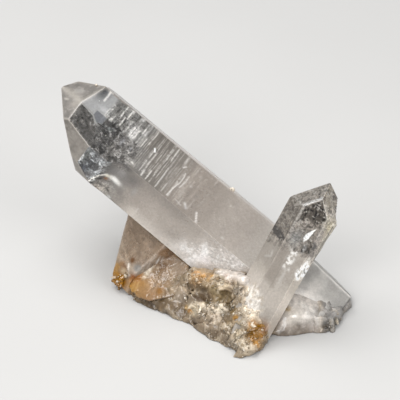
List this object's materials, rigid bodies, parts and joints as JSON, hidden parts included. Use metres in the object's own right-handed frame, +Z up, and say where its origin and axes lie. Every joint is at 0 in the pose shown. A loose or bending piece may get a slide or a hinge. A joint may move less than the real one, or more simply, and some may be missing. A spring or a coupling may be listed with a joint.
{
  "type": "quartz crystal cluster",
  "caption": "Intergrown cluster of clear to milky quartz: a long leaning prism with a pointed end, a shorter upright prism and a stained crystal, on a granular foot cut flat to rest on",
  "frame": {"origin": "On the table, in the middle of the flat face that the foot of the cluster rests on", "axes": "+Z is up from the table, +X is to the right as the specimen is shown, with the long crystal leaning over to the left, and +Y goes away from the viewer"},
  "size_m": [0.111, 0.0896, 0.0711],
  "materials": {
    "clear_quartz": "glassy faces, clear at the points and milky towards the foot, with striations, veils and iron stain"
  },
  "bodies": {
    "root": {"quartz_cluster": "clear_quartz"}
  },
  "joints": []
}
